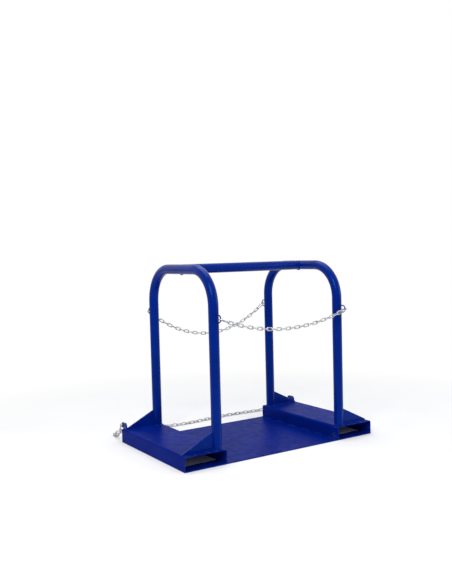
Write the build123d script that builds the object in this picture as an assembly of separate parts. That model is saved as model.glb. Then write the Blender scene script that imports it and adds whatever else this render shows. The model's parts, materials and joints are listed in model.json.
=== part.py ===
"""Gas cylinder bracket carried on the forks of a lift truck.

A flat deck plate lies between two open-bottomed fork pockets. On each pocket stands a bent
tube hoop, a crossbar joins the two hoops and divides the deck into a front and a rear bay,
and a chain closes each bay. A third chain ties the bracket back to the truck's carriage.

Frame: X to the right as seen from the loading side, Y towards the truck, Z up. The origin is
on the floor at the middle of the platform. Millimetres.
"""

from build123d import *

import math
import os

# ---- platform ------------------------------------------------------------------------------
platform_width = 1120.0
platform_depth = 660.0
deck_thickness = 5.0

# ---- fork pockets: sheet folded to an upturned channel ---------------------------------------
pocket_width = 224.0
pocket_height = 70.0
pocket_sheet = 4.0
fold_radius = 10.0
strap_width = 75.0
strap_thickness = 5.0

# ---- hoops and crossbar ----------------------------------------------------------------------
tube_od = 48.3
tube_wall = 3.2
hoop_height = 892.0
hoop_bend_radius = 168.0
leg_inset = 34.0
leg_setback = 34.0
cope_clearance = 0.05

# ---- gussets ---------------------------------------------------------------------------------
gusset_thickness = 6.0
gusset_height = 82.0
gusset_nose = 5.0

# ---- staples: bent rods that the chains hook on ----------------------------------------------
staple_rod = 6.0
staple_height = 670.0
staple_bend_radius = 17.0
staple_reach = 40.0

# ---- lugs for the carriage chain -------------------------------------------------------------
lug_thickness = 8.0
lug_length = 56.0
lug_eye_radius = 14.0
lug_hole = 11.0
lug_overhang = 13.0
lug_lift = 2.0
lug_shoulder = 12.0

# ---- chain -----------------------------------------------------------------------------------
link_wire = 5.0
link_inner_length = 28.0
link_inner_width = 8.5
link_bend_steps = 4
chain_slack = 0.5
front_chain_ease = 1.012
rear_chain_ease = 1.085

# ---- shackles --------------------------------------------------------------------------------
shackle_rod = 6.0
shackle_pin = 6.0
shackle_inner_width = 17.0
shackle_inner_length = 30.0
carriage_shackle_rod = 6.5
carriage_shackle_pin = 10.0
carriage_shackle_inner_width = 17.0
carriage_shackle_inner_length = 34.0
pin_head_height = 3.0
pin_head_overhang = 2.4
pin_tail = 1.5
pin_clearance = 0.3

# ---- carriage chain: slack on the floor between the two lugs -----------------------------------
carriage_chain_ease = 1.15
carriage_hang_angle = math.radians(50)
carriage_lean = math.radians(45)
carriage_drop_run = 85.0
carriage_lean_run = 50.0
carriage_route = [(0, 0.42), (0.01, 0.86), (0.13, 1), (0.36, 0.62), (0.62, 0.78), (0.86, 0.72), (0.985, 0.4)]
floor_clearance = 0.3
samples_per_link = 20

# ---- snap hooks ------------------------------------------------------------------------------
rod_bend_steps = 6
hook_rod = 6.0
hook_inner_length = 48.0
hook_inner_width = 18.0
gate_rod = 5.0
gate_start = -12.0
gate_end = 14.0
gate_gap = 0.3
gate_pivot_run = 4.0
gate_heel = 2.2
gate_tab_thickness = 2.0
gate_tab_length = 6.0
gate_tab_height = 3.5
gate_slot_allowance = 1.0
gate_pin = 2.0
gate_bore_clearance = 0.1
seat_clearance = 0.3
hook_seat_clearance = 1.0

# ---- worked out from the sizes above ---------------------------------------------------------
rear_edge = platform_depth / 2
pocket_inner_edge = platform_width / 2 - pocket_width
leg_x = pocket_inner_edge + leg_inset
leg_y = rear_edge - leg_setback
tube_radius = tube_od / 2
staple_tip = tube_radius + staple_reach - staple_rod / 2
lug_x = platform_width / 2 - fold_radius - lug_thickness / 2
lug_pivot_y = rear_edge + lug_overhang
lug_pivot_z = pocket_height + lug_lift + lug_eye_radius
rod_corner_factor = 1.1
staple_seat = rod_corner_factor * staple_rod + seat_clearance
gate_pivot_x = gate_start + gate_pivot_run
hook_side_y = (hook_inner_width + hook_rod) / 2
link_side_y = (link_inner_width + link_wire) / 2
link_pitch = link_inner_length - chain_slack
chain_on_floor = link_side_y * math.sin(carriage_lean) + rod_corner_factor * link_wire / 2 + floor_clearance
carriage_shackle_hang = carriage_shackle_pin / 2 + carriage_shackle_inner_length - chain_slack / 2
carriage_hook_hang = lug_hole / 2 - hook_seat_clearance + hook_inner_length - chain_slack / 2

os.makedirs("parts", exist_ok=True)


def save(shape, node):
    export_step(shape, f"parts/{node}.step")


# ---- rods bent from straight runs ------------------------------------------------------------
def arc_points(centre_x, radius, start, sweep_angle, steps):
    """Corners of straight runs that touch the arc about (centre_x, 0) from outside."""
    step = sweep_angle / steps
    corner_radius = radius / math.cos(math.radians(step / 2))
    angles = [math.radians(start + step * (i + 0.5)) for i in range(steps)]
    return [(centre_x + corner_radius * math.cos(a), corner_radius * math.sin(a)) for a in angles]


def bent_rod(points, rod, closed=False):
    """A six-sided rod with mitred corners along points in the XY plane."""
    corners = [Vector(x, y, 0) for x, y in points]
    if closed:
        corners = [(corners[-1] + corners[0]) * 0.5] + corners
    path = Wire.make_polygon(corners, close=closed)
    start = Plane(origin=corners[0], z_dir=corners[1] - corners[0], x_dir=(0, 0, 1))
    section = start * RegularPolygon(rod / 2 * rod_corner_factor, 6)
    return sweep(section, path=path, transition=Transition.RIGHT)


def racetrack(inner_length, inner_width, rod, steps):
    """Centre line of a closed loop with round ends, its long axis on X."""
    radius = (inner_width + rod) / 2
    end_x = (inner_length + rod) / 2 - radius
    return arc_points(end_x, radius, -90, 180, steps) + arc_points(-end_x, radius, 90, 180, steps)


# ---- platform pieces -------------------------------------------------------------------------
def deck_plate():
    plate = Box(2 * pocket_inner_edge, platform_depth, deck_thickness)
    return Pos(0, 0, deck_thickness / 2) * plate


def fork_pocket():
    """The right-hand pocket, open below and at both ends."""
    outer = Rectangle(pocket_width, pocket_height)
    outer = fillet(outer.vertices().group_by(Axis.Y)[-1], fold_radius)
    inner_height = pocket_height - pocket_sheet
    inner = Rectangle(pocket_width - 2 * pocket_sheet, inner_height)
    inner = fillet(inner.vertices().group_by(Axis.Y)[-1], fold_radius - pocket_sheet)
    profile = Plane.XZ * (outer - Pos(0, -pocket_sheet / 2) * inner)
    channel = extrude(profile, platform_depth / 2, both=True)
    return Pos(pocket_inner_edge + pocket_width / 2, 0, pocket_height / 2) * channel


def pocket_strap(end):
    """Flat bar across the open bottom of the right-hand pocket, at end -1 (front) or 1 (rear)."""
    strap = Box(pocket_width - 2 * pocket_sheet, strap_width, strap_thickness)
    middle_y = end * (platform_depth - strap_width) / 2
    return Pos(pocket_inner_edge + pocket_width / 2, middle_y, strap_thickness / 2) * strap


# ---- hoops -----------------------------------------------------------------------------------
def tube_ring():
    return Circle(tube_radius) - Circle(tube_radius - tube_wall)


def hoop():
    """The right-hand hoop: two legs, two bends and a level top, as one bent tube."""
    spring_z = hoop_height - hoop_bend_radius
    bend_y = leg_y - hoop_bend_radius
    leg = Pos(leg_x, leg_y, pocket_height) * extrude(tube_ring(), spring_z - pocket_height)
    turn = Pos(leg_x, leg_y, spring_z) * tube_ring()
    bend = revolve(turn, Axis((leg_x, bend_y, spring_z), (1, 0, 0)), 90)
    half = Compound([leg, bend])
    top = Plane(origin=(leg_x, -bend_y, hoop_height), z_dir=(0, 1, 0)) * tube_ring()
    middle = extrude(top, 2 * bend_y)
    pieces = half.solids() + half.mirror(Plane.XZ).solids() + middle.solids()
    return pieces[0].fuse(*pieces[1:])


def crossbar():
    """Tube between the hoops' tops, its ends coped to sit on them."""
    bar = extrude(Plane.YZ * tube_ring(), leg_x, both=True)
    hoop_top = Rot(90, 0, 0) * Cylinder(tube_radius + cope_clearance, 4 * tube_od)
    for side in (-1, 1):
        bar -= Pos(side * leg_x, 0, 0) * hoop_top
    middle = max(bar.solids(), key=lambda s: s.volume)
    return Pos(0, 0, hoop_height) * middle


def gusset(end):
    """Triangular plate from the right-hand hoop's leg out to the pocket's outer edge."""
    foot = platform_width / 2 - fold_radius - leg_x
    outline = [(0, 0), (foot, 0), (foot, gusset_nose), (tube_radius, gusset_height), (0, gusset_height)]
    plate = extrude(Plane.XZ * make_face(Polyline(outline, close=True)), gusset_thickness / 2, both=True)
    plate -= Cylinder(tube_radius + cope_clearance, 4 * gusset_height)
    plate = max(plate.solids(), key=lambda s: s.volume)
    return Pos(leg_x, end * leg_y, pocket_height) * plate


def staple():
    """Bent rod that stands off a leg along X, in its local XY plane."""
    bend_x = staple_tip - staple_bend_radius
    bow = arc_points(bend_x, staple_bend_radius, -90, 180, rod_bend_steps)
    points = [(tube_radius, -staple_bend_radius)] + bow + [(tube_radius, staple_bend_radius)]
    return bent_rod(points, staple_rod)


def placed_staple(end):
    """Staple on the right-hand hoop's leg at end, pointing off the platform."""
    seat = Plane(origin=(leg_x, end * leg_y, staple_height), x_dir=(0, end, 0), z_dir=(1, 0, 0))
    return seat * staple()


def carriage_lug():
    """Upright plate at the outer rear corner of the right-hand pocket, rounded round its hole."""
    heel = lug_pivot_y + lug_eye_radius - lug_length
    top = lug_lift + 2 * lug_eye_radius
    outline = [
        (heel, 0),
        (rear_edge, 0),
        (rear_edge, lug_lift),
        (lug_pivot_y, lug_lift),
        (lug_pivot_y, top),
        (heel + lug_shoulder, top),
        (heel, top - lug_shoulder),
    ]
    blank = make_face(Polyline(outline, close=True)) + Pos(lug_pivot_y, lug_lift + lug_eye_radius) * Circle(
        lug_eye_radius
    )
    blank -= Pos(lug_pivot_y, lug_lift + lug_eye_radius) * Circle(lug_hole / 2)
    plate = extrude(Plane.YZ * blank, lug_thickness / 2, both=True)
    return Pos(lug_x, 0, pocket_height) * plate


# ---- chain fittings, each with its long axis on X and its loop in the XY plane ----------------
def chain_link():
    """Closed link, bent from one rod."""
    loop = racetrack(link_inner_length, link_inner_width, link_wire, link_bend_steps)
    return bent_rod(loop, link_wire, closed=True)


def link_count(length):
    """Fewest links that fill a length, odd so that both end links stand across their fittings."""
    return 2 * math.ceil((length / link_pitch - 1) / 2) + 1


def shackle_bow(rod, pin, inner_width, inner_length):
    """Bow with its arc at +X and its pin's axis on Y at the origin."""
    half_width = (inner_width + rod) / 2
    arc_x = pin / 2 + inner_length + rod / 2 - half_width
    eye_radius = pin / 2 + pin_clearance + rod / 2
    arc = arc_points(arc_x, half_width, -90, 180, rod_bend_steps)
    bow = bent_rod([(0, -half_width)] + arc + [(0, half_width)], rod)
    for side in (-1, 1):
        seat = Pos(0, side * half_width, 0) * Rot(90, 0, 0)
        bow += seat * Cylinder(eye_radius, rod)
        bow -= seat * Cylinder(pin / 2 + pin_clearance, 2 * rod)
    return bow


def shackle_bolt(rod, pin, inner_width):
    """Shackle pin on Y, with a hexagonal head beyond one eye and a plain tail beyond the other."""
    eye_face = inner_width / 2 + rod
    under_head = eye_face + pin_clearance
    shank_length = under_head + eye_face + pin_tail
    shank = Pos(0, under_head - shank_length / 2, 0) * Rot(90, 0, 0) * Cylinder(pin / 2, shank_length)
    hexagon = RegularPolygon(pin / 2 + pin_head_overhang, 6)
    head = Rot(90, 0, 0) * extrude(hexagon, pin_head_height / 2, both=True)
    return shank + Pos(0, under_head + pin_head_height / 2, 0) * head


def hook_body():
    """Loop with a mouth in its +Y side, between gate_start and gate_end."""
    radius = hook_side_y
    end_x = (hook_inner_length + hook_rod) / 2 - radius
    nose = arc_points(end_x, radius, 90, -180, rod_bend_steps)
    tail = arc_points(-end_x, radius, -90, -180, rod_bend_steps)
    body = bent_rod([(gate_end, radius)] + nose + tail + [(gate_start, radius)], hook_rod)
    tab_x = gate_start + gate_tab_length / 2
    tab = Pos(tab_x, radius, 0) * Box(gate_tab_length, gate_tab_height, gate_tab_thickness)
    bore = Pos(gate_pivot_x, radius, 0) * Cylinder(gate_pin / 2 + gate_bore_clearance, hook_rod)
    return body + tab - bore


def hook_gate():
    """Straight bar that closes the mouth, slotted over the body's tab."""
    start = gate_pivot_x - gate_heel
    length = gate_end - gate_gap - start
    bar = Plane(origin=(start, hook_side_y, 0), z_dir=(1, 0, 0), x_dir=(0, 0, 1)) * extrude(
        RegularPolygon(gate_rod / 2 * rod_corner_factor, 6), length
    )
    slot_length = gate_tab_length + gate_slot_allowance
    slot = Box(2 * slot_length, 2 * gate_rod, gate_tab_thickness + 2 * gate_gap)
    bar -= Pos(start, hook_side_y, 0) * slot
    bar -= Pos(gate_pivot_x, hook_side_y, 0) * Cylinder(gate_pin / 2 + gate_bore_clearance, 2 * gate_rod)
    return bar


def hook_pin():
    return Pos(gate_pivot_x, hook_side_y, 0) * Cylinder(gate_pin / 2, gate_rod)


# ---- placing a piece of a chain ----------------------------------------------------------------
def facing(origin, along, normal):
    """Local frame with X along a run of chain and Z on the loop's normal."""
    return Plane(origin=origin, x_dir=along, z_dir=normal)


def save_hook(frame, chain):
    save(frame * hook_body(), f"{chain}_hook")
    save(frame * hook_gate(), f"{chain}_hook_gate")
    save(frame * hook_pin(), f"{chain}_hook_gate_pin")


# ---- chains that close the bays ----------------------------------------------------------------
def catenary(span, length):
    """For a chain hung between two level points: arc length to (x, drop), and the slope at its ends."""
    flattest = span * 50
    steepest = span / 20
    while flattest - steepest > span / 1e6:
        a = (steepest + flattest) / 2
        if 2 * a * math.sinh(span / 2 / a) > length:
            steepest = a
        else:
            flattest = a
    rise = a * math.cosh(span / 2 / a)

    def at(s):
        x = a * math.asinh((s - length / 2) / a)
        return x, rise - a * math.cosh(x / a)

    return at, math.atan(math.sinh(span / 2 / a))


def retaining_chain(chain, end, ease):
    """Chain across the front (end -1) or rear (end 1) bay, hooked at the side that end gives."""
    wanted = ease * 2 * (leg_x + staple_seat)
    fittings = hook_inner_length + shackle_inner_length - 2 * chain_slack
    count = link_count(wanted - fittings)
    lengths = [hook_inner_length] + [link_inner_length] * count + [shackle_inner_length]
    stations = [0.0]
    for inner_length in lengths:
        stations.append(stations[-1] + inner_length - chain_slack)
    bearing = (staple_rod + chain_slack) / 2
    slope = 0.0
    for _ in lengths:
        hang, slope = catenary(2 * (leg_x + staple_seat - bearing * math.cos(slope)), stations[-1])
    hang_y = end * (leg_y + staple_tip)
    top = staple_height - bearing * math.sin(slope)
    nodes = [Vector(-end * hang(s)[0], hang_y, top - hang(s)[1]) for s in stations]
    link = chain_link()
    links = []
    for i in range(count + 2):
        run = nodes[i + 1] - nodes[i]
        middle = (nodes[i] + nodes[i + 1]) * 0.5
        upward = Vector(-run.Z, 0, run.X) * -end
        if i == 0:
            save_hook(facing(middle, -run, upward), chain)
        elif i <= count:
            links.append(facing(middle, run, Vector(0, 1, 0) if i % 2 else upward) * link)
        else:
            pin_centre = nodes[i] - run.normalized() * ((shackle_pin + chain_slack) / 2)
            frame = facing(pin_centre, run, upward)
            sizes = (shackle_rod, shackle_pin, shackle_inner_width)
            save(frame * shackle_bow(*sizes, shackle_inner_length), f"{chain}_shackle")
            save(frame * shackle_bolt(*sizes), f"{chain}_shackle_pin")
    save(Compound(links), f"{chain}_links")


# ---- chain back to the truck, lying slack on the floor behind the platform ---------------------
def lug_line(side, hang):
    """Point on the chain's pull line, hang away from the lug's pivot."""
    back = hang * math.cos(carriage_hang_angle)
    return Vector(side * lug_x, lug_pivot_y + back, lug_pivot_z - hang * math.sin(carriage_hang_angle))


def carriage_line(bulge, count):
    """Points along the chain's line from lug to lug, lying on the floor between its ends."""
    first = lug_line(-1, carriage_shackle_hang)
    last = lug_line(1, carriage_hook_hang)
    plan = [(first.X, first.Y)]
    for across, back in carriage_route:
        plan.append((first.X + across * 2 * lug_x, first.Y + back * bulge))
    plan.append((last.X, last.Y))
    line = Spline(*plan)
    samples = []
    for i in range(count + 1):
        point = line @ (i / count)
        start_lift = max(0.0, 1 - line.length * i / count / carriage_drop_run) ** 2
        end_lift = max(0.0, 1 - line.length * (1 - i / count) / carriage_drop_run) ** 2
        z = chain_on_floor + (first.Z - chain_on_floor) * start_lift + (last.Z - chain_on_floor) * end_lift
        samples.append(Vector(point.X, point.Y, z))
    return samples


def run_lengths(points):
    """Distance from the first point to each of the points, along them."""
    totals = [0.0]
    for before, after in zip(points, points[1:]):
        totals.append(totals[-1] + (after - before).length)
    return totals


def carriage_nodes():
    """Joints of the chain's links, with the line's bulge set so that the links just fill it."""
    links = link_count(carriage_chain_ease * 2 * lug_x)
    shallow = 0.0
    deep = platform_width
    while deep - shallow > chain_slack / samples_per_link:
        bulge = (shallow + deep) / 2
        samples = carriage_line(bulge, samples_per_link * links)
        totals = run_lengths(samples)
        if totals[-1] < links * link_pitch:
            shallow = bulge
        else:
            deep = bulge
    nodes = []
    at = 0
    for i in range(links + 1):
        wanted = min(i * link_pitch, totals[-1])
        while at < len(totals) - 2 and totals[at + 1] < wanted:
            at += 1
        share = (wanted - totals[at]) / (totals[at + 1] - totals[at])
        nodes.append(samples[at] + (samples[at + 1] - samples[at]) * share)
    return nodes


def carriage_chain():
    """Shackle on the left lug, links on the floor, snap hook in the right lug."""
    chain = "carriage_chain"
    sideways = Vector(1, 0, 0)
    pivot = lug_line(-1, 0)
    frame = facing(pivot, lug_line(-1, 1) - pivot, (lug_line(-1, 1) - pivot).cross(sideways))
    sizes = (carriage_shackle_rod, carriage_shackle_pin, carriage_shackle_inner_width)
    save(frame * shackle_bow(*sizes, carriage_shackle_inner_length), f"{chain}_shackle")
    save(frame * shackle_bolt(*sizes), f"{chain}_shackle_pin")

    nodes = carriage_nodes()
    link = chain_link()
    links = []
    last = len(nodes) - 2
    for i in range(last + 1):
        run = nodes[i + 1] - nodes[i]
        side = run.cross(Vector(0, 0, 1)).normalized()
        up = side.cross(run).normalized()
        from_end = min(i, last - i) * link_inner_length
        roll = carriage_lean * min(1.0, from_end / carriage_lean_run) + math.pi / 2 * (i % 2)
        normal = side * math.cos(roll) + up * math.sin(roll)
        links.append(facing((nodes[i] + nodes[i + 1]) * 0.5, run, normal) * link)
    save(Compound(links), f"{chain}_links")

    nose = lug_line(1, carriage_hook_hang)
    pull = lug_line(1, 0) - nose
    middle = nose + pull.normalized() * ((hook_inner_length - chain_slack) / 2)
    save_hook(facing(middle, pull, pull.cross(sideways)), chain)


# ---- the whole bracket -------------------------------------------------------------------------
def write_pair(shape, name):
    """Save a right-hand piece and its mirror image."""
    save(shape, f"right_{name}")
    save(mirror(shape, Plane.YZ), f"left_{name}")


save(deck_plate(), "deck_plate")
write_pair(fork_pocket(), "fork_pocket")
write_pair(hoop(), "hoop")
save(crossbar(), "crossbar")
write_pair(carriage_lug(), "carriage_lug")
for place, end in (("front", -1), ("rear", 1)):
    write_pair(pocket_strap(end), f"{place}_pocket_strap")
    write_pair(gusset(end), f"{place}_gusset")
    write_pair(placed_staple(end), f"{place}_staple")
retaining_chain("front_chain", -1, front_chain_ease)
retaining_chain("rear_chain", 1, rear_chain_ease)
carriage_chain()
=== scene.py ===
import json
import math

import bpy
import numpy as np
from mathutils import Matrix, Vector


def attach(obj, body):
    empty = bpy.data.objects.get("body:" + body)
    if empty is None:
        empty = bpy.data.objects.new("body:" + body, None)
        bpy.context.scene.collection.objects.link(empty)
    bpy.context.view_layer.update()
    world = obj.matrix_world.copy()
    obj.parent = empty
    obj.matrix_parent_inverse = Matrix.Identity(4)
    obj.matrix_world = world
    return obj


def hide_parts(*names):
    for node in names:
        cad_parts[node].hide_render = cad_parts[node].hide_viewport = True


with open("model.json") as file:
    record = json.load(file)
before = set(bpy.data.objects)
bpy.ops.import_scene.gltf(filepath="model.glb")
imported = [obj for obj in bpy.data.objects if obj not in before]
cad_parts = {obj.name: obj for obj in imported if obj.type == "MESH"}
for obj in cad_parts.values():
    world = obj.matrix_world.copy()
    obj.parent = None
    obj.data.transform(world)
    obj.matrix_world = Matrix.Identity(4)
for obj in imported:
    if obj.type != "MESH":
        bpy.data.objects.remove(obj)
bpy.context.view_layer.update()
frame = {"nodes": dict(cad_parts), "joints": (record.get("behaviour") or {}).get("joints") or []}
NODES = frame["nodes"]
MM = 0.001

# sizes shared with the frame, in millimetres
LEG_X = 370.0
LEG_Y = 296.0
TUBE_R = 24.15
HOOP_Z = 892.0
POCKET_TOP = 70.0
DECK_TOP = 5.0
DECK_EDGE = 336.0
PLATFORM_X = 560.0
PLATFORM_Y = 330.0
LUG_X = 546.0
LUG_HEEL = 301.0
STAPLE_Z = 670.0
STAPLE_TIP = 61.15
STAPLE_BEND = 17.0
ROD_R = 3.0
LINK_R = 2.5
LINK_SIDE = 6.75
LINK_END = 9.75
HOOK_ROD_R = 2.85
HOOK_SIDE = 12.0
HOOK_END = 15.0
GATE_R = 2.5
GATE_PIVOT = -8.0
GATE_FROM = -10.2
GATE_FORK = -5.0
GATE_TO = 13.7
GATE_CHEEK = 1.3
HOOK_NOSE = 14.0
TAB_X = (-13.0, -6.2)
TAB_HALF_HEIGHT = 1.7
TAB_HALF_THICKNESS = 1.0
PIN_CLEARANCE = 0.3
EYE_CHAMFER = 0.7

# rod, pin, inner width and inner length of the shackles, in millimetres
RETAINING_SHACKLE = (6.0, 6.0, 17.0, 30.0)
CARRIAGE_SHACKLE = (6.5, 10.0, 17.0, 34.0)

# flash of a link's weld: places along its side in millimetres, and the rod's swell there
FLASH_X = (6.0, 2.4, 1.0, 0.0, -1.0, -2.4, -6.0)
FLASH_SWELL = (0.0, 0.02, 0.10, 0.16, 0.10, 0.02, 0.0)

# weld beads, in millimetres
LEG_BEAD_R = 3.4
SADDLE_BEAD_R = 3.6
GUSSET_FOOT_BEAD_R = 2.3
GUSSET_RISE_BEAD_R = 2.2
STAPLE_BEAD_R = 1.5
PLATE_BEAD_R = 2.0
SEAM_BEAD_R = 2.4
BEAD_STEP = 1.4
BEAD_LIFT = 0.3
RIPPLE_PITCH = 3.2
SADDLE_OUT = 0.8
SADDLE_CREST = 3.0
GUSSET_FACE = 3.4
GUSSET_TOE = 12.0
GUSSET_RISE = 80.0
LUG_FACE = 4.3
WALL_INSET = 4.3
STRAP_RUN = (4.0, 71.0)
SEAM_COUNT = 6
SEAM_PITCH = 113.0
SEAM_LENGTH = 62.0

# camera, fitted to the photograph: lengths in metres, angles in degrees, focal length in its points
PHOTO_HEIGHT = 584.0
FOCAL_POINTS = 712.0
SENSOR = 36.0
EYE = (-2.0598, -3.0418, 0.9625)
AZIMUTH = -32.67
ELEVATION = 3.08
ROLL = -1.45


# ---- materials -------------------------------------------------------------------------------
class Shader:
    """Small builder for a Principled material's node tree."""

    def __init__(self, name):
        self.material = bpy.data.materials.new(name)
        self.material.use_nodes = True
        self.tree = self.material.node_tree
        self.shader = self.tree.nodes["Principled BSDF"]

    def add(self, kind, inputs=None, **settings):
        node = self.tree.nodes.new(kind)
        for key, value in settings.items():
            setattr(node, key, value)
        for key, value in (inputs or {}).items():
            self.put(value, node.inputs[key])
        return node

    def put(self, value, socket):
        if isinstance(value, bpy.types.NodeSocket):
            self.tree.links.new(value, socket)
        else:
            socket.default_value = value

    def set(self, **values):
        for key, value in values.items():
            self.put(value, self.shader.inputs[key.replace("_", " ")])

    def place(self):
        return self.add("ShaderNodeTexCoord").outputs["Object"]

    def noise(self, scale, detail=3.0, roughness=0.5, vector=None):
        vector = vector or self.place()
        node = self.add(
            "ShaderNodeTexNoise",
            {"Vector": vector, "Scale": scale, "Detail": detail, "Roughness": roughness},
        )
        return node.outputs["Fac"]

    def ramp(self, value, stops):
        node = self.add("ShaderNodeValToRGB", {"Fac": value})
        ramp = node.color_ramp
        while len(ramp.elements) < len(stops):
            ramp.elements.new(0.5)
        for element, (position, shade) in zip(ramp.elements, stops):
            element.position = position
            element.color = (*shade, 1) if isinstance(shade, tuple) else (shade, shade, shade, 1)
        return node.outputs["Color"]

    def mix(self, factor, low, high):
        node = self.add("ShaderNodeMix", data_type="RGBA")
        self.put(factor, node.inputs[0])
        self.put(low, node.inputs[6])
        self.put(high, node.inputs[7])
        return node.outputs[2]

    def maths(self, operation, first, second=0.5):
        node = self.add("ShaderNodeMath", operation=operation)
        self.put(first, node.inputs[0])
        self.put(second, node.inputs[1])
        return node.outputs[0]

    def bump(self, height, strength, distance, normal=None):
        node = self.add(
            "ShaderNodeBump", {"Height": height, "Strength": strength, "Distance": distance}
        )
        if normal:
            self.put(normal, node.inputs["Normal"])
        return node.outputs["Normal"]


def scuffs(s):
    """Scratches along Y, near the mouths where forks and cylinders slide on and off."""
    stretched = s.add("ShaderNodeVectorMath", operation="MULTIPLY")
    s.put(s.place(), stretched.inputs[0])
    s.put((16.0, 1.5, 16.0), stretched.inputs[1])
    streaks = s.ramp(s.noise(7.0, 4.0, 0.6, stretched.outputs["Vector"]), [(0.60, 0.0), (0.68, 0.45)])
    parts = s.add("ShaderNodeSeparateXYZ")
    s.put(s.place(), parts.inputs[0])
    mouth = s.ramp(s.maths("ABSOLUTE", parts.outputs["Y"]), [(0.24, 0.0), (0.34, 1.0)])
    return s.maths("MULTIPLY", streaks, mouth)


def blue_paint(name, gloss=(0.18, 0.30), index=1.32, sheet=False):
    """Ultramarine paint over steel, with a few chips, and a painted highlight of lighter blue along its
    edges.
    """
    s = Shader(name)
    broad = s.noise(6.0, 4.0, 0.55)
    colour = s.ramp(broad, [(0.3, (0.0002, 0.0075, 0.145)), (0.7, (0.0004, 0.0125, 0.195))])
    dust = s.ramp(s.noise(34.0, 6.0, 0.65), [(0.55, 0.0), (0.9, 0.05)])
    colour = s.mix(dust, colour, (0.05, 0.08, 0.20, 1))
    chips = s.ramp(s.noise(120.0, 2.0, 0.5), [(0.775, 0.0), (0.79, 1.0)])
    patch = s.ramp(s.noise(14.0, 2.0, 0.5), [(0.56, 0.0), (0.64, 1.0)])
    chipped = s.maths("MULTIPLY", chips, patch)
    colour = s.mix(chipped, colour, (0.10, 0.11, 0.13, 1))
    # painted highlight: lighter blue along the rounded edges, broken into patches by noise
    rounded = s.add("ShaderNodeBevel", {"Radius": 0.0022}, samples=6)
    flat = s.add("ShaderNodeNewGeometry")
    turn = s.add("ShaderNodeVectorMath", operation="DOT_PRODUCT")
    s.put(rounded.outputs["Normal"], turn.inputs[0])
    s.put(flat.outputs["Normal"], turn.inputs[1])
    edge = s.ramp(turn.outputs["Value"], [(0.90, 1.0), (0.985, 0.0)])
    edge_patches = s.ramp(s.noise(45.0, 4.0, 0.6), [(0.42, 0.10), (0.66, 0.60)])
    edge_highlight = s.maths("MULTIPLY", edge, edge_patches)
    colour = s.mix(edge_highlight, colour, (0.035, 0.085, 0.42, 1))
    if sheet:
        colour = s.mix(scuffs(s), colour, (0.13, 0.17, 0.28, 1))
    rough = s.ramp(s.noise(26.0, 5.0, 0.6), [(0.3, gloss[0]), (0.75, gloss[1])])
    normal = s.bump(s.noise(160.0, 1.0, 0.4), 0.02, 0.0003)
    if sheet:
        normal = s.bump(s.noise(4.0, 1.0, 0.4), 0.20, 0.004, normal)
    s.set(Base_Color=colour, Roughness=rough, Normal=normal, IOR=index)
    s.set(Specular_Tint=(0.08, 0.42, 1.0, 1))
    return s.material


def zinc(name, tint=(0.56, 0.57, 0.59), rough=(0.22, 0.38)):
    """Bright zinc plating with a faint bloom that darkens it in random patches, and a few spots."""
    s = Shader(name)
    bloom = s.noise(70.0, 4.0, 0.6)
    dark = tuple(0.55 * c for c in tint)
    colour = s.ramp(bloom, [(0.32, dark), (0.66, tint)])
    spots = s.ramp(s.noise(310.0, 2.0, 0.5), [(0.66, 0.0), (0.76, 0.35)])
    colour = s.mix(spots, colour, (0.30, 0.29, 0.27, 1))
    roughness = s.ramp(s.noise(150.0, 3.0, 0.5), [(0.3, rough[0]), (0.7, rough[1])])
    normal = s.bump(s.noise(500.0, 2.0, 0.5), 0.15, 0.0002)
    s.set(Base_Color=colour, Metallic=0.9, Roughness=roughness, Normal=normal)
    return s.material


PAINT = blue_paint("blue_paint")
SHEET_PAINT = blue_paint("blue_paint_sheet", (0.34, 0.50), 1.08, True)
WELD_PAINT = blue_paint("blue_paint_weld")
ZINC = zinc("zinc")
ZINC_PIN = zinc("zinc_pin", (0.50, 0.50, 0.51), (0.26, 0.42))


# ---- meshes ----------------------------------------------------------------------------------
def make(name, verts, faces, material, body, slot=None):
    """Mesh object from points in millimetres, riding on a body."""
    mesh = bpy.data.meshes.new(name)
    mesh.from_pydata([tuple(c * MM for c in v) for v in verts], [], faces)
    mesh.update()
    mesh.polygons.foreach_set("use_smooth", [True] * len(mesh.polygons))
    mesh.materials.append(material)
    obj = bpy.data.objects.new(name, mesh)
    bpy.context.scene.collection.objects.link(obj)
    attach(obj, body)
    return obj


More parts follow.
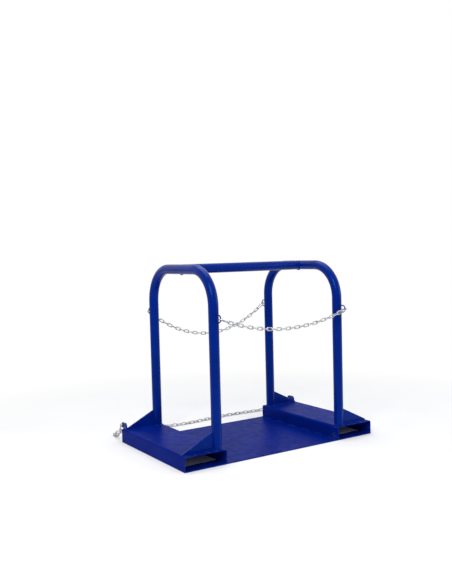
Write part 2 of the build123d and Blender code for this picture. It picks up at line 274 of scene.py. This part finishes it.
def sweep(points, radii, closed=False, sides=12):
    """Round tube through points: (vertices, faces), with domed ends where it is open."""
    points = [np.array(p, float) for p in points]
    count = len(points)
    tangents = []
    for i in range(count):
        before = points[i - 1] if closed or i else points[0]
        after = points[(i + 1) % count] if closed or i < count - 1 else points[-1]
        run = after - before
        tangents.append(run / np.linalg.norm(run))
    start = np.cross(tangents[0], (0.0, 0.0, 1.0))
    if np.linalg.norm(start) < 0.2:
        start = np.cross(tangents[0], (1.0, 0.0, 0.0))
    axis = start / np.linalg.norm(start)
    axes = []
    for tangent in tangents:
        axis = axis - tangent * np.dot(axis, tangent)
        axis = axis / np.linalg.norm(axis)
        axes.append(axis)
    twist = 0.0
    if closed:
        last = axes[-1] - tangents[0] * np.dot(axes[-1], tangents[0])
        last = last / np.linalg.norm(last)
        twist = math.atan2(np.dot(np.cross(last, axes[0]), tangents[0]), np.dot(last, axes[0]))
    rings = []
    for i in range(count):
        radius = radii[i] if hasattr(radii, "__len__") else radii
        rings.append((points[i], tangents[i], axes[i], radius, twist * i / count))
    if not closed:
        dome = [(0.35, 0.94), (0.7, 0.71), (0.95, 0.3)]
        p, t, a, r, w = rings[0]
        rings = [(p - t * r * (d - 0.95), t, a, r * f, w) for d, f in reversed(dome)] + [
            (p + t * r * 0.95, t, a, r, w)
        ] + rings[1:]
        p, t, a, r, w = rings[-1]
        rings = rings[:-1] + [(p - t * r * 0.95, t, a, r, w)] + [
            (p + t * r * (d - 0.95), t, a, r * f, w) for d, f in dome
        ]
    verts = []
    for p, t, a, r, w in rings:
        b = np.cross(t, a)
        for k in range(sides):
            angle = 2 * math.pi * k / sides + w
            verts.append(p + (a * math.cos(angle) + b * math.sin(angle)) * r)
    faces = []
    span = len(rings) if closed else len(rings) - 1
    for i in range(span):
        j = (i + 1) % len(rings)
        for k in range(sides):
            m = (k + 1) % sides
            faces.append((i * sides + k, i * sides + m, j * sides + m, j * sides + k))
    if not closed:
        faces.append(tuple(reversed(range(sides))))
        faces.append(tuple(range((len(rings) - 1) * sides, len(rings) * sides)))
    return verts, faces


def joined(parts):
    """Several (vertices, faces) as one."""
    verts, faces = [], []
    for v, f in parts:
        base = len(verts)
        verts += list(v)
        faces += [tuple(i + base for i in face) for face in f]
    return verts, faces


def moved(part, origin, x, y, z):
    """A local part placed with its axes on x, y and z."""
    verts, faces = part
    x, y, z, origin = (np.array(v, float) for v in (x, y, z, origin))
    placed = [origin + x * v[0] + y * v[1] + z * v[2] for v in verts]
    if np.dot(np.cross(x, y), z) < 0:
        faces = [tuple(reversed(f)) for f in faces]
    return placed, faces


def lathe(profile, sides=28):
    """Closed ring: profile of (radius, height) points turned about local Z."""
    verts = []
    for k in range(sides):
        angle = 2 * math.pi * k / sides
        verts += [np.array((r * math.cos(angle), r * math.sin(angle), h)) for r, h in profile]
    n = len(profile)
    faces = []
    for k in range(sides):
        m = (k + 1) % sides
        for i in range(n):
            j = (i + 1) % n
            faces.append((k * n + i, m * n + i, m * n + j, k * n + j))
    return verts, faces


def arc(centre_x, radius, start, turn, steps):
    """Points on an arc about (centre_x, 0), in degrees."""
    angles = [math.radians(start + turn * i / steps) for i in range(steps + 1)]
    return [(centre_x + radius * math.cos(a), radius * math.sin(a), 0.0) for a in angles]


# ---- chains ----------------------------------------------------------------------------------
def link_mesh():
    """One round link with the flash of its weld on one side."""
    points = arc(LINK_END, LINK_SIDE, -90, 180, 10)
    first = len(points)
    points += [(x, LINK_SIDE, 0.0) for x in FLASH_X]
    points += arc(-LINK_END, LINK_SIDE, 90, 180, 10)
    radii = [LINK_R] * len(points)
    for i, swell in enumerate(FLASH_SWELL):
        radii[first + i] = LINK_R * (1 + swell)
    return sweep(points, radii, closed=True, sides=12)


def islands(node):
    """The separate solids of a CAD node, each as an array of its corner points in millimetres."""
    mesh = node.data
    coords = np.empty(len(mesh.vertices) * 3)
    mesh.vertices.foreach_get("co", coords)
    coords = coords.reshape(-1, 3) / MM
    keys, merged = {}, []
    for p in np.round(coords, 3):
        merged.append(keys.setdefault(tuple(p), len(keys)))
    parent = list(range(len(keys)))

    def root(i):
        while parent[i] != i:
            parent[i] = parent[parent[i]]
            i = parent[i]
        return i

    for edge in mesh.edges:
        a, b = (root(merged[v]) for v in edge.vertices)
        parent[a] = b
    groups = {}
    for point, key in keys.items():
        groups.setdefault(root(key), []).append(point)
    return [np.array(group) for group in groups.values()]


def principal(points):
    """Centre, long axis, cross axis and thin axis of a solid's points."""
    offsets = points - points.mean(axis=0)
    _, _, axes = np.linalg.svd(offsets, full_matrices=False)
    x, z = axes[0], axes[2]
    middle = points.mean(axis=0)
    for axis in axes:
        along = (points - middle) @ axis
        middle = middle + axis * (along.max() + along.min()) / 2
    return middle, x, np.cross(z, x), z


def dress_links(chain):
    """Round links, each in the place of a CAD link."""
    node = NODES[chain + "_links"]
    link = link_mesh()
    placed = []
    for i, solid in enumerate(sorted(islands(node), key=lambda s: tuple(s.mean(axis=0)))):
        middle, x, y, z = principal(solid)
        if i % 2:
            x, z = -x, z
            y = np.cross(z, x)
        placed.append(moved(link, middle, x, y, z))
    obj = make(chain + "_round_links", *joined(placed), ZINC, chain, "zinc_chain")
    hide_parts(chain + "_links")


def hook_mesh():
    """Round-rod snap hook with the flat tab that its gate hinges on."""
    body = [(HOOK_NOSE, HOOK_SIDE, 0.0), (HOOK_NOSE + 0.6, HOOK_SIDE, 0.0)]
    body += arc(HOOK_END, HOOK_SIDE, 90, -180, 14) + [(0.0, -HOOK_SIDE, 0.0)]
    body += arc(-HOOK_END, HOOK_SIDE, -90, -180, 14) + [(-12.2, HOOK_SIDE, 0.0)]
    heights = (HOOK_SIDE - TAB_HALF_HEIGHT, HOOK_SIDE + TAB_HALF_HEIGHT)
    tab = [(x, y, z) for x in TAB_X for y in heights for z in (-TAB_HALF_THICKNESS, TAB_HALF_THICKNESS)]
    tab_faces = [(0, 1, 3, 2), (4, 6, 7, 5), (0, 4, 5, 1), (2, 3, 7, 6), (0, 2, 6, 4), (1, 5, 7, 3)]
    return joined([sweep(body, HOOK_ROD_R, sides=14), (tab, tab_faces)])


def cheek(side):
    """One of the gate's two cheeks, beside the hook's tab."""
    low = math.asin(GATE_CHEEK / GATE_R)
    steps = 8
    angles = [low + (math.pi - 2 * low) * i / steps for i in range(steps + 1)]
    rim = [(GATE_R * math.cos(a), side * GATE_R * math.sin(a)) for a in angles]
    ends = (GATE_FROM, GATE_FROM + 0.1, GATE_FORK - 0.05, GATE_FORK + 0.05)
    verts = [np.array((x, HOOK_SIDE + y, z)) for x in ends for y, z in rim]
    n = len(rim)
    faces = [tuple(range(n)), tuple(reversed(range(3 * n, 4 * n)))]
    for row in range(3):
        for i in range(n):
            j = (i + 1) % n
            faces.append((row * n + i, (row + 1) * n + i, (row + 1) * n + j, row * n + j))
    if side > 0:
        faces = [tuple(reversed(f)) for f in faces]
    return verts, faces


def gate_mesh():
    """Round gate, forked where it hinges on the tab."""
    profile = [(0.02, GATE_FORK), (GATE_R - 0.1, GATE_FORK), (GATE_R, GATE_FORK + 0.1), (GATE_R, 0.0)]
    profile += [(GATE_R, GATE_TO - 0.7), (GATE_R - 0.2, GATE_TO - 0.2)]
    profile += [(GATE_R - 0.7, GATE_TO), (0.02, GATE_TO)]
    bar = moved(lathe(profile, 20), (0, HOOK_SIDE, 0), (0, 1, 0), (0, 0, 1), (1, 0, 0))
    return joined([bar, cheek(-1), cheek(1)])


def dress_hook(chain, across):
    """Round-rod hook and gate, placed from the gate's hinge."""
    hinge = next(j for j in frame["joints"] if j["child"] == chain + "_gate")
    z = -np.array(hinge["axis"], float)
    z = z / np.linalg.norm(z)
    y = np.array(across, float)
    x = np.cross(y, z)
    origin = np.array(hinge["pos_m"], float) / MM - y * HOOK_SIDE - x * GATE_PIVOT
    placed = moved(hook_mesh(), origin, x, y, z)
    body = make(chain + "_round_hook", *placed, ZINC, chain, "zinc_chain")
    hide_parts(chain + "_hook")
    placed = moved(gate_mesh(), origin, x, y, z)
    gate = make(chain + "_round_gate", *placed, ZINC_PIN, chain + "_gate", "zinc_chain")
    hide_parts(chain + "_hook_gate")


def bow_mesh(rod, pin, width, length):
    """Round shackle bow with its two eyes, around the pin's centre."""
    half = (width + rod) / 2
    arc_x = pin / 2 + length + rod / 2 - half
    eye = pin / 2 + PIN_CLEARANCE + rod / 2
    points = [(eye * 0.5, -half, 0.0), (arc_x * 0.6, -half, 0.0)] + arc(arc_x, half, -90, 180, 16)
    points += [(arc_x * 0.6, half, 0.0), (eye * 0.5, half, 0.0)]
    parts = [sweep(points, rod / 2, sides=14)]
    hole = pin / 2 + PIN_CLEARANCE
    h = rod / 2
    c = EYE_CHAMFER
    ring = [(hole, -h + c / 2), (hole + c / 2, -h), (eye - c, -h), (eye, -h + c)]
    ring += [(eye, h - c), (eye - c, h), (hole + c / 2, h), (hole, h - c / 2)]
    for side in (-1, 1):
        parts.append(moved(lathe(ring, 28), (0, side * half, 0), (1, 0, 0), (0, 0, -1), (0, 1, 0)))
    return joined(parts)


def corners(name):
    """A CAD node's corner points in millimetres."""
    return np.array([tuple(v.co) for v in NODES[name].data.vertices]) / MM


def dress_shackle(chain, across, sizes):
    """Round shackle bow, placed from its pin and the far end of the CAD bow."""
    pin = corners(chain + "_shackle_pin")
    centre = (pin.max(axis=0) + pin.min(axis=0)) / 2
    bow = corners(chain + "_shackle")
    reach = np.linalg.norm(bow - centre, axis=1)
    x = bow[reach > reach.max() - 0.2].mean(axis=0) - centre
    y = np.array(across, float)
    x = x - y * np.dot(x, y)
    x = x / np.linalg.norm(x)
    placed = moved(bow_mesh(*sizes), centre, x, y, np.cross(x, y))
    obj = make(chain + "_round_shackle", *placed, ZINC, chain, "zinc_chain")
    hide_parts(chain + "_shackle")


for chain, across, sizes in (
    ("front_chain", (0, -1, 0), RETAINING_SHACKLE),
    ("rear_chain", (0, 1, 0), RETAINING_SHACKLE),
    ("carriage_chain", (1, 0, 0), CARRIAGE_SHACKLE),
):
    dress_links(chain)
    dress_hook(chain, across)
    dress_shackle(chain, across, sizes)


# ---- staples ---------------------------------------------------------------------------------
def staple_mesh():
    """One bent rod, standing out from its leg along local X."""
    bend = STAPLE_TIP - STAPLE_BEND
    points = [(TUBE_R - 2.0, -STAPLE_BEND, 0.0), (bend * 0.8, -STAPLE_BEND, 0.0)]
    points += arc(bend, STAPLE_BEND, -90, 180, 16)
    points += [(bend * 0.8, STAPLE_BEND, 0.0), (TUBE_R - 2.0, STAPLE_BEND, 0.0)]
    return sweep(points, ROD_R, sides=14)


for side, side_name in ((-1, "left"), (1, "right")):
    for end, end_name in ((-1, "front"), (1, "rear")):
        origin = (side * LEG_X, end * LEG_Y, STAPLE_Z)
        placed = moved(staple_mesh(), origin, (0, end, 0), (0, 0, 1), (1, 0, 0))
        node = f"{side_name}_{end_name}_staple"
        obj = make("round_" + node, *placed, PAINT, "frame", "blue_paint")
        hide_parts(node)


# ---- weld beads ------------------------------------------------------------------------------
def resample(points, step, closed):
    """Evenly spaced points along a line."""
    points = [np.array(p, float) for p in points]
    if closed:
        points.append(points[0])
    lengths = [0.0]
    for a, b in zip(points, points[1:]):
        lengths.append(lengths[-1] + np.linalg.norm(b - a))
    count = max(3, int(round(lengths[-1] / step)))
    stations = np.linspace(0, lengths[-1], count + (0 if closed else 1), endpoint=not closed)
    table = np.array(points)
    return [np.array([np.interp(s, lengths, table[:, k]) for k in range(3)]) for s in stations]


def bead(points, radius, closed=False, phase=0.0):
    """Rippled weld bead along a line."""
    path = resample(points, BEAD_STEP, closed)
    radii = []
    for i in range(len(path)):
        ripple = 0.10 * math.sin(i * 2 * math.pi / RIPPLE_PITCH + phase)
        ripple += 0.07 * math.sin(i * 0.37 + phase * 3)
        radii.append(radius * (1 + ripple))
    return sweep(path, radii, closed=closed, sides=10)


def ring_points(centre, u, v, radius, steps=40):
    """Points on a circle in the plane of u and v."""
    centre, u, v = (np.array(a, float) for a in (centre, u, v))
    angles = [2 * math.pi * i / steps for i in range(steps)]
    return [centre + (u * math.cos(a) + v * math.sin(a)) * radius for a in angles]


def saddle_bead(side):
    """Bead where the crossbar's coped end meets a hoop's top, dressed flush above."""
    points = []
    steps = 72
    radius = TUBE_R + SADDLE_OUT
    for i in range(steps):
        a = 2 * math.pi * i / steps
        reach = math.sqrt((TUBE_R * math.cos(a)) ** 2 + SADDLE_CREST**2)
        points.append((side * (LEG_X - reach), radius * math.cos(a), HOOP_Z + radius * math.sin(a)))
    verts, faces = bead(points, SADDLE_BEAD_R, True, side)
    top = HOOP_Z + TUBE_R
    return [np.array((v[0], v[1], min(v[2], top))) for v in verts], faces


def gusset_beads(side, end, face):
    """Along one face of a gusset: its foot on the pocket, then its upright edge on the leg."""
    y = end * LEG_Y + face * GUSSET_FACE
    z = POCKET_TOP + BEAD_LIFT
    foot = [(side * (LEG_X + TUBE_R + 2.0), y, z), (side * (PLATFORM_X - GUSSET_TOE), y, z)]
    x = side * (LEG_X + math.sqrt(TUBE_R**2 - GUSSET_FACE**2) + BEAD_LIFT)
    rise = [(x, y, POCKET_TOP + 3.0), (x, y, POCKET_TOP + GUSSET_RISE)]
    return [
        bead(foot, GUSSET_FOOT_BEAD_R, False, face + end),
        bead(rise, GUSSET_RISE_BEAD_R, False, face),
    ]


def staple_bead(side, end, face):
    """Round the upper or lower foot of a staple."""
    foot = (side * LEG_X, end * (LEG_Y + TUBE_R), STAPLE_Z + face * STAPLE_BEND)
    ring = ring_points(foot, (1, 0, 0), (0, 0, 1), ROD_R + 0.6, 20)
    return bead(ring, STAPLE_BEAD_R, True, face)


def lug_bead(side, face):
    """Along one face of a lug's foot."""
    x = side * (LUG_X + face * LUG_FACE)
    z = POCKET_TOP + BEAD_LIFT
    return bead([(x, LUG_HEEL + 2, z), (x, PLATFORM_Y - 1, z)], PLATE_BEAD_R)


def strap_bead(side, end, wall):
    """Across one end of a strap, inside a pocket's wall."""
    run = [(side * wall, end * (PLATFORM_Y - y), DECK_TOP + BEAD_LIFT) for y in STRAP_RUN]
    return bead(run, PLATE_BEAD_R, False, end)


def seam_bead(side, i):
    """One of the stitch welds between the deck and a pocket."""
    x = side * (DECK_EDGE - 0.6)
    z = DECK_TOP + 0.4
    start = -PLATFORM_Y + 12 + i * SEAM_PITCH
    return bead([(x, start, z), (x, start + SEAM_LENGTH, z)], SEAM_BEAD_R, False, i)


beads = []
for side in (-1, 1):
    beads.append(saddle_bead(side))
    for end in (-1, 1):
        base = (side * LEG_X, end * LEG_Y, POCKET_TOP + 0.6)
        ring = ring_points(base, (1, 0, 0), (0, 1, 0), TUBE_R + 1.0)
        beads.append(bead(ring, LEG_BEAD_R, True, side + end))
        for face in (-1, 1):
            beads += gusset_beads(side, end, face)
            beads.append(staple_bead(side, end, face))
            if end > 0:
                beads.append(lug_bead(side, face))
        for wall in (DECK_EDGE + WALL_INSET, PLATFORM_X - WALL_INSET):
            beads.append(strap_bead(side, end, wall))
    for i in range(SEAM_COUNT):
        beads.append(seam_bead(side, i))
make("weld_beads", *joined(beads), WELD_PAINT, "frame", "blue_paint")


# ---- carried-over nodes ----------------------------------------------------------------------
def soften(node, width, angle=35):
    """Breaks a plate's or fitting's sharp edges."""
    bevel = node.modifiers.new("edges", "BEVEL")
    bevel.width = width * MM
    bevel.segments = 2
    bevel.limit_method = "ANGLE"
    bevel.angle_limit = math.radians(angle)
    bevel.use_clamp_overlap = True


for name, node in NODES.items():
    if name.endswith("pin"):
        material = ZINC_PIN
    elif name.startswith(("front_chain", "rear_chain", "carriage_chain")):
        material = ZINC
    elif name.endswith(("deck_plate", "fork_pocket")):
        material = SHEET_PAINT
    else:
        material = PAINT
    node.data.materials.clear()
    node.data.materials.append(material)
    if name.endswith(("gusset", "strap", "lug", "deck_plate")):
        soften(node, 0.7)
    if name.endswith("shackle_pin"):
        soften(node, 0.5)


# ---- floor, light and camera -----------------------------------------------------------------
def floor_material():
    """Pale floor that the camera sees fade to white away from the object."""
    s = Shader("pale_floor")
    grain = s.ramp(s.noise(2.0, 3.0, 0.5), [(0.3, 0.86), (0.7, 0.90)])
    s.set(Base_Color=grain, Roughness=0.9, Specular_IOR_Level=0.1)
    distance = s.add("ShaderNodeVectorMath", operation="LENGTH")
    s.put(s.place(), distance.inputs[0])
    near = s.maths("DIVIDE", distance.outputs["Value"], 4.0)
    fade = s.ramp(near, [(0.22, 0.0), (0.55, 1.0)])
    rays = s.add("ShaderNodeLightPath")
    seen = s.maths("MULTIPLY", fade, rays.outputs["Is Camera Ray"])
    white = s.add("ShaderNodeEmission", {"Color": (1, 1, 1, 1), "Strength": 1.0})
    blend = s.add("ShaderNodeMixShader")
    s.put(seen, blend.inputs[0])
    s.put(s.shader.outputs[0], blend.inputs[1])
    s.put(white.outputs[0], blend.inputs[2])
    s.put(blend.outputs[0], s.tree.nodes["Material Output"].inputs["Surface"])
    return s.material


bpy.ops.mesh.primitive_plane_add(size=60, location=(0, 0, 0))
floor = bpy.context.object
floor.name = "floor"
floor.data.materials.append(floor_material())

world = bpy.data.worlds.new("studio")
bpy.context.scene.world = world
world.use_nodes = True
nodes, links = world.node_tree.nodes, world.node_tree.links
background = nodes["Background"]
background.inputs["Color"].default_value = (0.93, 0.95, 1.0, 1)
background.inputs["Strength"].default_value = 0.6
white = nodes.new("ShaderNodeBackground")
white.inputs["Color"].default_value = (1, 1, 1, 1)
rays = nodes.new("ShaderNodeLightPath")
seen = rays.outputs["Is Camera Ray"]
for kind in ("Is Glossy Ray", "Is Transmission Ray"):
    either = nodes.new("ShaderNodeMath")
    either.operation = "MAXIMUM"
    links.new(seen, either.inputs[0])
    links.new(rays.outputs[kind], either.inputs[1])
    seen = either.outputs[0]
mixer = nodes.new("ShaderNodeMixShader")
links.new(seen, mixer.inputs[0])
links.new(background.outputs[0], mixer.inputs[1])
links.new(white.outputs[0], mixer.inputs[2])
links.new(mixer.outputs[0], nodes["World Output"].inputs["Surface"])


def softbox(name, place, target, size, power, colour=(1, 1, 1)):
    """Rectangular lamp at a place, aimed at a target, in metres and watts."""
    light = bpy.data.lights.new(name, "AREA")
    light.shape = "RECTANGLE"
    light.size, light.size_y = size
    light.energy = power
    light.color = colour
    lamp = bpy.data.objects.new(name, light)
    bpy.context.scene.collection.objects.link(lamp)
    lamp.location = place
    aim = Vector(target) - Vector(place)
    lamp.rotation_euler = aim.to_track_quat("-Z", "Y").to_euler()


softbox("key", (-2.4, -2.6, 3.2), (0, 0, 0.4), (1.8, 1.8), 110, (1.0, 0.98, 0.95))
softbox("fill", (3.2, -2.4, 1.6), (0, 0, 0.4), (2.4, 1.6), 25, (0.93, 0.96, 1.0))
softbox("top", (0.0, 0.6, 3.6), (0, 0, 0.2), (2.4, 2.4), 45)

camera = bpy.data.cameras.new("camera")
camera.sensor_fit = "AUTO"
camera.sensor_width = SENSOR
camera.lens = FOCAL_POINTS / PHOTO_HEIGHT * SENSOR
camera.dof.use_dof = False
camera.clip_start = 0.05
camera.clip_end = 200.0
eye = bpy.data.objects.new("camera", camera)
bpy.context.scene.collection.objects.link(eye)
azimuth, elevation, roll = (math.radians(v) for v in (AZIMUTH, ELEVATION, ROLL))
level = math.cos(elevation)
back = Vector((math.sin(azimuth) * level, -math.cos(azimuth) * level, math.sin(elevation)))
right = Vector((math.cos(azimuth), math.sin(azimuth), 0))
up = back.cross(right)
tilted_right = right * math.cos(roll) + up * math.sin(roll)
tilted_up = up * math.cos(roll) - right * math.sin(roll)
turn = Matrix((tilted_right, tilted_up, back)).transposed().to_4x4()
eye.matrix_world = Matrix.Translation(EYE) @ turn
bpy.context.scene.camera = eye
bpy.context.scene.view_settings.view_transform = "Standard"
